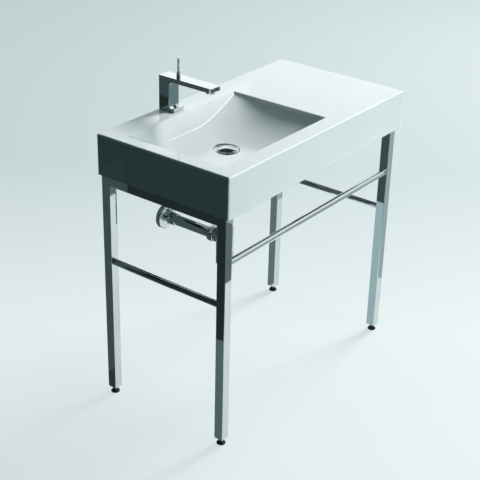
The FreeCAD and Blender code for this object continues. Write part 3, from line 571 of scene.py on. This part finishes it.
def makeBasin():
    piece = addBlock("basinBlank", basinLow, basinHigh)
    roundBlankEdges(piece)
    over = basin["overrun"]
    hollowLow = (basinLow.x + basin["sideWall"], basinLow.y + basin["frontWall"], basinLow.z - over)
    hollowHigh = (basinHigh.x - basin["sideWall"], basinHigh.y - basin["backWall"], rim - basin["deck"])
    hollow = addBlock("underside", hollowLow, hollowHigh)
    cutWith(hollow, makeBowlTool("bowlShell", basin["wall"], basin["shellFineness"]))
    bossFoot = rim - basin["bossDepth"]
    cutWith(hollow, drainRod("boss", basin["bossRadius"], bossFoot))
    cutWith(piece, hollow)
    cutWith(piece, makeBowlTool("bowl", 0.0, basin["bowlFineness"]))
    cutWith(piece, drainRod("recess", basin["recessRadius"], rim - basin["seatDepth"]))
    cutWith(piece, drainRod("drain", basin["drainRadius"], bossFoot - over))
    tapFoot = Vector((drainX, basinHigh.y - basin["tapHoleFromBack"], rim - basin["deck"] - over))
    tapTop = Vector((tapFoot.x, tapFoot.y, rim + over))
    cutWith(piece, addRod("tapHole", basin["tapHoleRadius"], tapFoot, tapTop, basin["holeSides"]))
    inner, outer = basinHigh.y - basin["backWall"] - over, basinHigh.y + over
    fixingZ = basinLow.z + basin["fixingRise"]
    for x in (-basin["fixingSpacing"] / 2, basin["fixingSpacing"] / 2):
        ends = (x, inner, fixingZ), (x, outer, fixingZ)
        cutWith(piece, addRod("fixing", basin["fixingRadius"], *ends, basin["fixingSides"]))
    smoothAndWeigh(piece, basin["smoothAngle"], basin["flatWeight"])
    finishPiece(piece, "basin_glazed", "washbasin", finishes["ceramic"])
    print("basin:", len(piece.data.polygons), "faces")


makeBasin()


# Shading of the smaller pieces

polish = {
    "angle": 32,
    "flatWeight": 100,
    "mergeGap": 0.000002,
    "squareness": 0.99999,  # how near a face's normal is to an axis
}


# Tap lever: a ball and a thin neck in the collar, and a thicker handle that clears the collar as it tilts

lever = {
    "ballRadius": 0.004,
    "neckRadius": 0.0025,
    "handleRadius": 0.0037,
    "handleGap": 0.002,  # from the collar up to the handle, at rest
    "handleEdge": 0.0008,
    "edgeShare": 0.3,  # of the edge, at the middle of its rounding
    "ballSteps": 14,
    "sides": 64,
}


def turnPiece(name, foot, profile, sides):
    # A solid of revolution on a vertical axis, ring by ring from the bottom up
    clearSelection()
    radius, height = profile[0]
    bpy.ops.mesh.primitive_circle_add(
        vertices=sides, radius=radius, fill_type="NGON", location=foot + Vector((0, 0, height))
    )
    item = bpy.context.object
    item.name = name
    applyPlace(item)
    editAll(item)
    for (below, low), (above, high) in zip(profile, profile[1:]):
        bpy.ops.mesh.extrude_region_move(TRANSFORM_OT_translate={"value": (0, 0, high - low)})
        grow = above / below
        bpy.ops.transform.resize(value=(grow, grow, 1), center_override=foot + Vector((0, 0, high)))
    turnOutwards()
    return item


def makeLever():
    low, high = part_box("lever")
    ball, neck, handle = lever["ballRadius"], lever["neckRadius"], lever["handleRadius"]
    pivot = Vector(((low.x + high.x) / 2, (low.y + high.y) / 2, low.z + ball))
    top = high.z - pivot.z
    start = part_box("lever_collar")[1].z - pivot.z + lever["handleGap"]
    edge = lever["handleEdge"]
    inset = edge * lever["edgeShare"]
    shoulder = math.acos(neck / ball)
    turns = evenly(-math.pi / 2, shoulder, lever["ballSteps"])
    profile = [(ball * math.cos(turn), ball * math.sin(turn)) for turn in turns]
    profile += [(neck, start), (handle - edge, start), (handle - inset, start + inset)]
    profile += [(handle, start + edge), (handle, top - edge)]
    profile += [(handle - inset, top - inset), (handle - edge, top)]
    piece = turnPiece("leverBlank", pivot, profile, lever["sides"])
    smoothAndWeigh(piece, polish["angle"], polish["flatWeight"])
    finishPiece(piece, "lever_finished", "lever", finishes["fitting_chrome"])


makeLever()
print("lever: turned")


# Threaded studs of the feet and of the tap

stud = {
    "pitch": 0.00125,
    "depth": 0.00068,
    # Height along one turn and share of the depth cut away, at each corner of the thread
    "tooth": ((0, 1), (0.13, 1), (0.45, 0), (0.68, 0), (1, 1)),
    "sides": 28,
    "spareTurns": 3,
    "mergeGap": 0.00001,
    "angle": 20,
}
footStuds = [name for name in nodes if name.startswith("foot_stud")]


def makeThreadedStud(nodeName):
    # One tooth as a bare line, wound up by a screw and cut to length
    low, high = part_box(nodeName)
    radius = (high.x - low.x) / 2
    pitch, tooth = stud["pitch"], stud["tooth"]
    clearSelection()
    bpy.ops.mesh.primitive_circle_add(vertices=len(tooth), radius=radius)
    item = bpy.context.object
    for corner, (share, cutShare) in zip(item.data.vertices, tooth):
        corner.co = (radius - cutShare * stud["depth"], 0, share * pitch)
    closing = {0, len(tooth) - 1}
    editChosen(item, "EDGE", lambda edge: set(edge.vertices) == closing)
    bpy.ops.mesh.delete(type="EDGE")
    clearSelection()
    applyModifier(
        item, "SCREW", screw_offset=pitch,
        iterations=math.ceil((high.z - low.z) / pitch) + stud["spareTurns"],
        steps=stud["sides"], render_steps=stud["sides"],
        use_merge_vertices=True, merge_threshold=stud["mergeGap"],
    )
    item.location = ((low.x + high.x) / 2, (low.y + high.y) / 2, low.z - pitch)
    applyPlace(item)
    editAll(item)
    bpy.ops.mesh.remove_doubles(threshold=stud["mergeGap"])
    for end, way in ((low, (0, 0, -1)), (high, (0, 0, 1))):
        bpy.ops.mesh.select_all(action="SELECT")
        bpy.ops.mesh.bisect(plane_co=end, plane_no=way, use_fill=True, clear_outer=True)
    turnOutwards()
    smoothFaces(item, stud["angle"])
    return item


def copyStud(source, fromNode, toNode):
    pick(source)
    bpy.ops.object.duplicate(linked=False)
    item = bpy.context.object
    item.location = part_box(toNode)[0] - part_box(fromNode)[0]
    applyPlace(item)
    return item


firstStud = footStuds[0]
studPieces = {firstStud: makeThreadedStud(firstStud)}
for nodeName in footStuds[1:]:
    studPieces[nodeName] = copyStud(studPieces[firstStud], firstStud, nodeName)
studPieces["tap_stud"] = makeThreadedStud("tap_stud")
for nodeName, piece in studPieces.items():
    finishPiece(piece, nodeName + "_finished", nodeName, finishes[slotOfNode[nodeName]])
print("threaded studs:", len(studPieces))


# Turned, drawn and cast pieces: the solids with their round faces smoothed

modelledNodes = ["washbasin", "lever", *studPieces]
plainNodes = ["basin_pads", "tap_gasket"]  # flat rubber that only gets its finish
squareNodes = ["tap_body"]  # large flat faces between small round ones
smoothNodes = [name for name in nodes if name not in modelledNodes + plainNodes]


def flattenFaces(item):
    # Faces square to an axis keep one normal all over, so that they mirror as one plane
    mesh = item.data
    normals = [corner.vector.copy() for corner in mesh.corner_normals]
    for face in mesh.polygons:
        if max(abs(part) for part in face.normal) > polish["squareness"]:
            for corner in face.loop_indices:
                normals[corner] = face.normal.copy()
    mesh.normals_split_custom_set(normals)


def makeSmoothPiece(nodeName):
    item = bpy.data.objects.new(nodeName + "_finished", nodes[nodeName].data.copy())
    bpy.context.scene.collection.objects.link(item)
    editAll(item)
    bpy.ops.mesh.remove_doubles(threshold=polish["mergeGap"])
    clearSelection()
    smoothAndWeigh(item, polish["angle"], polish["flatWeight"])
    if nodeName in squareNodes:
        flattenFaces(item)
    finishPiece(item, nodeName + "_finished", nodeName, finishes[slotOfNode[nodeName]])


for nodeName in smoothNodes:
    makeSmoothPiece(nodeName)
for nodeName in plainNodes:
    nodes[nodeName].data.materials.clear()
    nodes[nodeName].data.materials.append(finishes[slotOfNode[nodeName]])
print("smoothed pieces:", len(smoothNodes))


# Studio

studio = {
    "floorSize": 40.0,
    "floorColour": (0.19, 0.2, 0.2),
    "floorPatch": 1.02,  # times the colour, in the paler patches
    "floorPatchScale": 3.0,
    "floorRough": 0.9,
    "floorGlow": (0.61, 0.67, 0.67),
    "floorGlowFar": (0.42, 0.49, 0.49),
    "floorWay": (0.8, 0.6, 0),  # the glow fades along this way
    "floorFade": (0.2, 1.6),
    "backdropFade": (-0.1, 0.15),
    # Place, aim, width, power and tint of each softbox
    "keyBox": ((5.0, -0.6, 4.1), (0.0, 0.0, 0.85), 1.9, 468.0, (1.0, 0.98, 0.98)),
    "frontBox": ((0.7, -3.2, 0.8), (0.0, 0.0, 0.75), 1.5, 74.0, (0.91, 1.0, 1.0)),
    # Corners of a net beside the right end and the share of light that it lets through, against burning out
    "net": ((0.468, -0.245, 0.75), (0.47, 0.245, 0.888), 0.62),
    "skyDark": (0.018, 0.034, 0.036),
    "skyPale": (0.26, 0.42, 0.44),
    "skyWay": (0.9, 0, 0.4),
    "skyFade": (-0.1, 0.9),
    "mirrorPale": (0.9, 0.97, 0.97),
    "mirrorLow": (0.4, 0.45, 0.45),
    "mirrorDark": (0.03, 0.04, 0.04),
    "mirrorFront": (0.75, 0.78, 0.78),
    # Where the mirrored tones change: twice along Z, then along X and along Y
    "mirrorFoot": (-0.05, 0.25),
    "mirrorTop": (0.5, 0.58),
    "mirrorSide": (-0.3, 0.1),
    "mirrorFrontFade": (-0.7, 0.1),
    # Low corner, high corner, facing and tone of each card; only polished surfaces see the cards
    "cards": {
        "leftCard": ((-0.905, -0.6, 0.0), (-0.9, 1.8, 0.75), (1, 0, 0), (0.02, 0.03, 0.03)),
        "leftMat": ((-0.9, -0.6, 0.002), (-0.46, 0.18, 0.004), (0, 0, 1), (0.11, 0.16, 0.165)),
        "leftMatBack": ((-0.9, 0.18, 0.002), (-0.46, 1.8, 0.004), (0, 0, 1), (0.03, 0.046, 0.048)),
        "backCard": ((-0.62, 0.3, 0.01), (0.24, 0.305, 0.735), (0, -1, 0), (0.06, 0.09, 0.09)),
        "backCardRight": ((0.3, 0.245, 0.0), (0.46, 0.25, 0.735), (0, -1, 0), (0.15, 0.21, 0.215)),
        "underCard": ((0.378, -0.215, 0.0), (0.38, -0.15, 0.48), (1, 0, 0), (0.42, 0.56, 0.58)),
        "windowCard": ((1.6, -0.6, 2.96), (2.4, 0.03, 2.965), (0, 0, -1), (3.2, 3.4, 3.4)),
        "tapCard": ((-0.242, 0.093, 0.9), (-0.24, 0.3, 1.06), (1, 0, 0), (0.05, 0.075, 0.077)),
        "columnCard": ((-0.19, 0.06, 0.892), (0.02, 0.192, 0.897), (0, 0, 1), (0.16, 0.245, 0.255)),
        "spoutCard": ((0.6, 1.0, 1.36), (1.3, 1.005, 1.55), (0, -1, 0), (1.22, 1.24, 1.24)),
        "barCard": ((-0.4, -0.31, 0.698), (0.7, -0.214, 0.7), (0, 0, -1), (1.0, 1.06, 1.06)),
        "frontMat": ((-1.5, -4.0, 0.002), (3.0, -0.83, 0.004), (0, 0, 1), (0.14, 0.18, 0.18)),
        "rightMat": ((0.75, -1.2, 0.005), (2.4, -0.25, 0.007), (0, 0, 1), (0.4, 0.5, 0.51)),
    },
}


def rampColours(tree, source, span, first, second):
    low, high = span
    reach = tree.nodes.new("ShaderNodeMapRange")
    reach.inputs["From Min"].default_value = low
    reach.inputs["From Max"].default_value = high
    tree.links.new(source, reach.inputs["Value"])
    ramp = tree.nodes.new("ShaderNodeMix")
    ramp.data_type = "RGBA"
    ramp.inputs["A"].default_value = (*first, 1)
    ramp.inputs["B"].default_value = (*second, 1)
    tree.links.new(reach.outputs["Result"], ramp.inputs["Factor"])
    return ramp.outputs["Result"]


def alongWay(tree, source, way):
    product = tree.nodes.new("ShaderNodeVectorMath")
    product.operation = "DOT_PRODUCT"
    product.inputs[1].default_value = way
    tree.links.new(source, product.inputs[0])
    return product.outputs["Value"]


def makeFloor():
    clearSelection()
    bpy.ops.mesh.primitive_plane_add(size=studio["floorSize"])
    floor = bpy.context.object
    floor.name = "studioFloor"
    material, tree, shader = newMaterial("paleFloor")
    pale = studio["floorColour"]
    paler = tuple(part * studio["floorPatch"] for part in pale)
    tone = blendColours(tree, noiseField(tree, studio["floorPatchScale"]), pale, paler)
    tree.links.new(tone, shader.inputs["Base Color"])
    shader.inputs["Roughness"].default_value = studio["floorRough"]
    shader.inputs["Specular IOR Level"].default_value = 0.0
    away = alongWay(tree, objectPoint(tree), studio["floorWay"])
    glow = rampColours(tree, away, studio["floorFade"], studio["floorGlow"], studio["floorGlowFar"])
    tree.links.new(glow, shader.inputs["Emission Color"])
    path = tree.nodes.new("ShaderNodeLightPath")
    seen = tree.nodes.new("ShaderNodeMath")
    seen.operation = "MAXIMUM"
    tree.links.new(path.outputs["Is Camera Ray"], seen.inputs[0])
    tree.links.new(path.outputs["Is Glossy Ray"], seen.inputs[1])
    tree.links.new(seen.outputs["Value"], shader.inputs["Emission Strength"])
    floor.data.materials.append(material)
    floor.visible_diffuse = False


def makeCardPaper(name, tone):
    # Seen from its front alone
    material, tree, shader = newMaterial(name)
    shader.inputs["Base Color"].default_value = (0, 0, 0, 1)
    shader.inputs["Specular IOR Level"].default_value = 0.0
    shader.inputs["Emission Color"].default_value = (*tone, 1)
    shader.inputs["Emission Strength"].default_value = 1.0
    behind = tree.nodes.new("ShaderNodeNewGeometry")
    clear = tree.nodes.new("ShaderNodeBsdfTransparent")
    choice = tree.nodes.new("ShaderNodeMixShader")
    tree.links.new(behind.outputs["Backfacing"], choice.inputs["Fac"])
    tree.links.new(shader.outputs["BSDF"], choice.inputs[1])
    tree.links.new(clear.outputs["BSDF"], choice.inputs[2])
    tree.links.new(choice.outputs["Shader"], tree.nodes["Material Output"].inputs["Surface"])
    return material


def makeCards():
    for name, (low, high, facing, tone) in studio["cards"].items():
        card = addBlock(name, low, high)
        front = Vector(facing)
        editChosen(card, "FACE", lambda face: face.normal.dot(front) < 0.5)  # all but the front
        bpy.ops.mesh.delete(type="FACE")
        clearSelection()
        card.data.materials.append(makeCardPaper(name + "Paper", tone))
        card.visible_camera = False
        card.visible_diffuse = False
        card.visible_shadow = False


def makeNet():
    low, high, share = studio["net"]
    net = addBlock("endNet", low, high)
    material, tree, _ = newMaterial("endNetCloth")
    cloth = tree.nodes.new("ShaderNodeBsdfTransparent")
    tone = math.sqrt(share)  # light crosses two faces
    cloth.inputs["Color"].default_value = (tone, tone, tone, 1)
    tree.links.new(cloth.outputs["BSDF"], tree.nodes["Material Output"].inputs["Surface"])
    net.data.materials.append(material)
    net.visible_camera = False
    net.visible_glossy = False
    net.visible_diffuse = False


def addSoftbox(name, place, aim, width, power, tint):
    data = bpy.data.lights.new(name, "AREA")
    data.shape = "SQUARE"
    data.size = width
    data.energy = power
    data.color = tint
    lamp = bpy.data.objects.new(name, data)
    bpy.context.scene.collection.objects.link(lamp)
    lamp.location = place
    lamp.rotation_euler = (Vector(aim) - Vector(place)).to_track_quat("-Z", "Y").to_euler()
    lamp.visible_glossy = False


def multiplied(tree, first, second):
    product = tree.nodes.new("ShaderNodeMix")
    product.data_type = "RGBA"
    product.blend_type = "MULTIPLY"
    product.inputs["Factor"].default_value = 1.0
    tree.links.new(first, product.inputs["A"])
    tree.links.new(second, product.inputs["B"])
    return product.outputs["Result"]


def chosen(tree, factor, first, second):
    choice = tree.nodes.new("ShaderNodeMix")
    choice.data_type = "RGBA"
    tree.links.new(factor, choice.inputs["Factor"])
    tree.links.new(first, choice.inputs["A"])
    tree.links.new(second, choice.inputs["B"])
    return choice.outputs["Result"]


def makeSky():
    # Soft fill from the right, a pale right side under a dark top for polished surfaces,
    # and an even backdrop for the camera
    world = bpy.data.worlds.new("studioSky")
    bpy.context.scene.world = world
    world.use_nodes = True
    tree = world.node_tree
    background = tree.nodes["Background"]
    direction = tree.nodes.new("ShaderNodeTexCoord").outputs["Generated"]
    split = tree.nodes.new("ShaderNodeSeparateXYZ")
    tree.links.new(direction, split.inputs["Vector"])
    x, y, z = (split.outputs[axis] for axis in "XYZ")
    white, dark = (1, 1, 1), studio["mirrorDark"]
    lit = alongWay(tree, direction, studio["skyWay"])
    fill = rampColours(tree, lit, studio["skyFade"], studio["skyDark"], studio["skyPale"])
    around = rampColours(tree, z, studio["mirrorFoot"], studio["mirrorLow"], studio["mirrorPale"])
    above = rampColours(tree, z, studio["mirrorTop"], white, dark)
    side = rampColours(tree, x, studio["mirrorSide"], dark, white)
    front = rampColours(tree, y, studio["mirrorFrontFade"], studio["mirrorFront"], white)
    mirror = multiplied(tree, multiplied(tree, around, above), multiplied(tree, side, front))
    away = alongWay(tree, direction, studio["floorWay"])
    backdrop = rampColours(tree, away, studio["backdropFade"], studio["floorGlow"], studio["floorGlowFar"])
    path = tree.nodes.new("ShaderNodeLightPath")
    shown = chosen(tree, path.outputs["Is Glossy Ray"], fill, mirror)
    shown = chosen(tree, path.outputs["Is Camera Ray"], shown, backdrop)
    tree.links.new(shown, background.inputs["Color"])
    background.inputs["Strength"].default_value = 1.0


makeFloor()
makeCards()
makeNet()
addSoftbox("keySoftbox", *studio["keyBox"])
addSoftbox("frontSoftbox", *studio["frontBox"])
makeSky()
print("studio: floor,", len(studio["cards"]), "cards, net and softboxes")


# Camera, as fitted to the photograph

view = {
    "place": (-2.652717, -1.936564, 2.125121),
    # Millimetres
    "sensor": 36,
    "lens": 86.947,
    # Degrees
    "heading": 53.069,
    "drop": 27.09,
    "roll": 1.471,
}


def makeCamera():
    data = bpy.data.cameras.new("photoCamera")
    data.sensor_width = view["sensor"]
    data.lens = view["lens"]
    camera = bpy.data.objects.new("photoCamera", data)
    bpy.context.scene.collection.objects.link(camera)
    turn = Matrix.Rotation(math.radians(-view["heading"]), 4, "Z")
    tilt = Matrix.Rotation(math.radians(90 - view["drop"]), 4, "X")
    roll = Matrix.Rotation(math.radians(view["roll"]), 4, "Z")
    camera.matrix_world = Matrix.Translation(view["place"]) @ turn @ tilt @ roll
    bpy.context.scene.camera = camera


makeCamera()
bpy.context.scene.view_settings.view_transform = "Standard"
